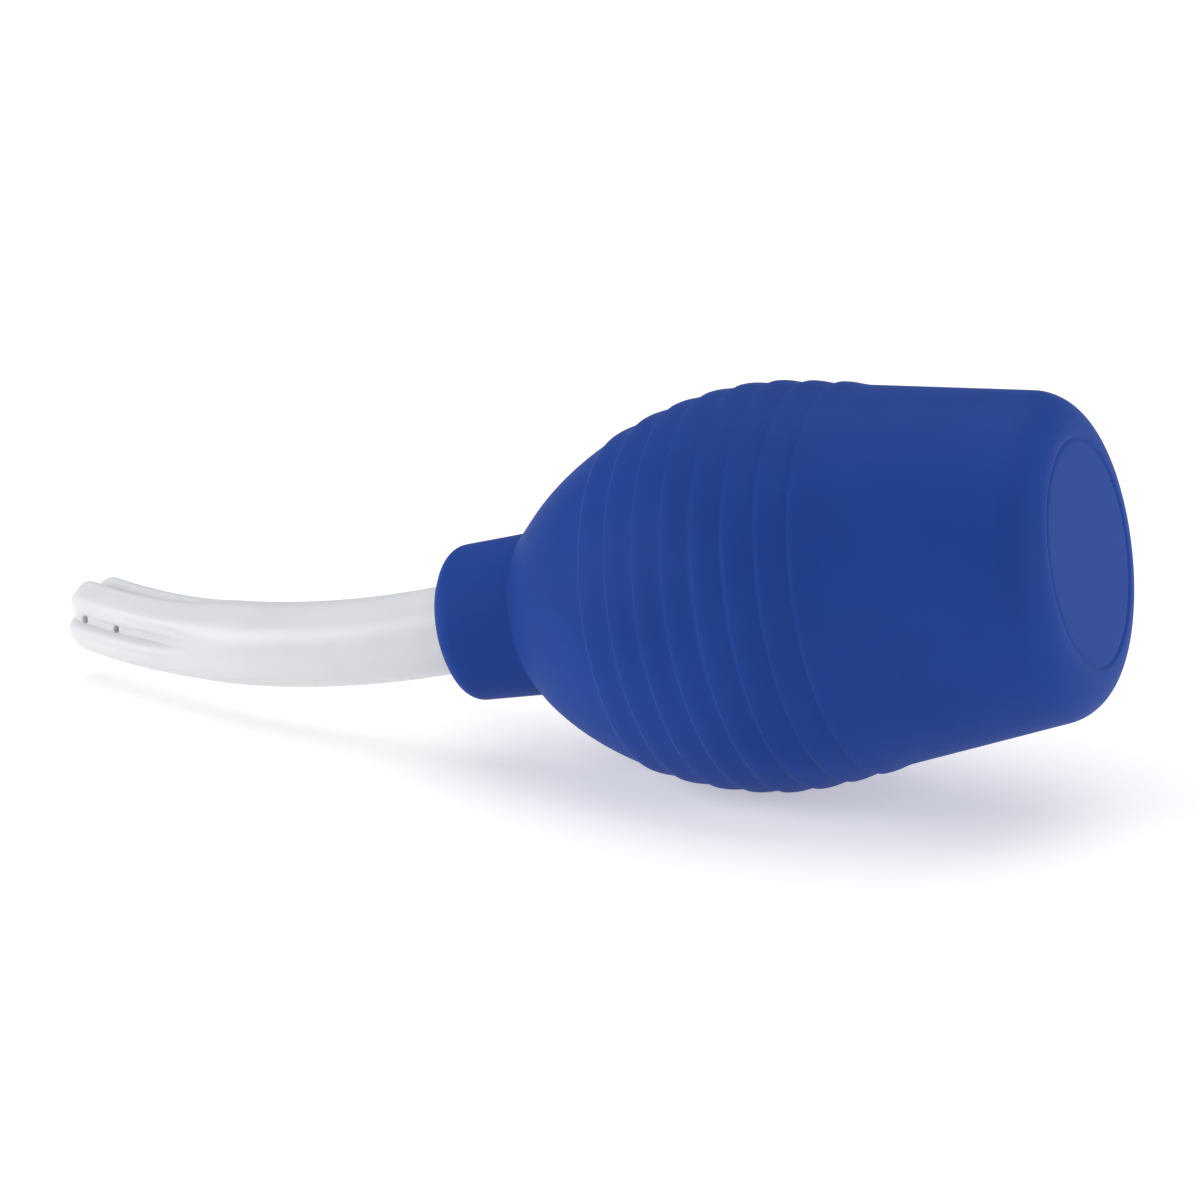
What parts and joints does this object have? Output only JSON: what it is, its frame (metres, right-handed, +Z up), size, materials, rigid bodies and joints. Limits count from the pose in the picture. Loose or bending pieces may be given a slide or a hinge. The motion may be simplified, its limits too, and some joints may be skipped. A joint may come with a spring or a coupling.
{
  "type": "squeeze bulb syringe",
  "caption": "Soft ribbed squeeze bulb with a flat base and a curved, fluted outlet nozzle that turns and pulls out of its neck.",
  "frame": {"origin": "on the floor under the middle of the object as it lies on its side, nozzle low and base raised", "axes": "+X towards the base end, -X towards the nozzle tip, +Z up, and the bulb's axis lies in the XZ plane"},
  "size_m": [0.1972, 0.0704, 0.0739],
  "materials": {
    "blue_silicone": "matt moulded silicone rubber",
    "white_plastic": "satin hard plastic",
    "milky_plastic": "translucent soft plastic"
  },
  "bodies": {
    "bulb": {"bulb_shell": "blue_silicone"},
    "near_wall": {"squeeze_wall_near": "blue_silicone"},
    "far_wall": {"squeeze_wall_far": "blue_silicone"},
    "plug": {"nozzle_plug": "white_plastic"},
    "nozzle": {"nozzle_tube": "milky_plastic"}
  },
  "joints": [
    {"name": "squeeze", "type": "slide", "parent": "bulb", "child": "near_wall", "axis": [0, 1, 0], "range_m": [0, 0.012], "stiffness_N_per_m": 600},
    {"name": "squeeze_far_side", "type": "slide", "parent": "bulb", "child": "far_wall", "axis": [0, -1, 0], "range_m": [0, 0.012], "stiffness_N_per_m": 600},
    {"name": "plug_pull", "type": "slide", "parent": "bulb", "child": "plug", "axis": [-0.9617, 0, -0.274], "range_m": [0, 0.018]},
    {"name": "nozzle_turn", "type": "hinge", "parent": "plug", "child": "nozzle", "pos_m": [-0.01905, 0, 0.02179], "axis": [-0.9617, 0, -0.274], "continuous": true}
  ],
  "couplings": [
    {"joint": "squeeze_far_side", "follows": "squeeze", "ratio": 1}
  ]
}
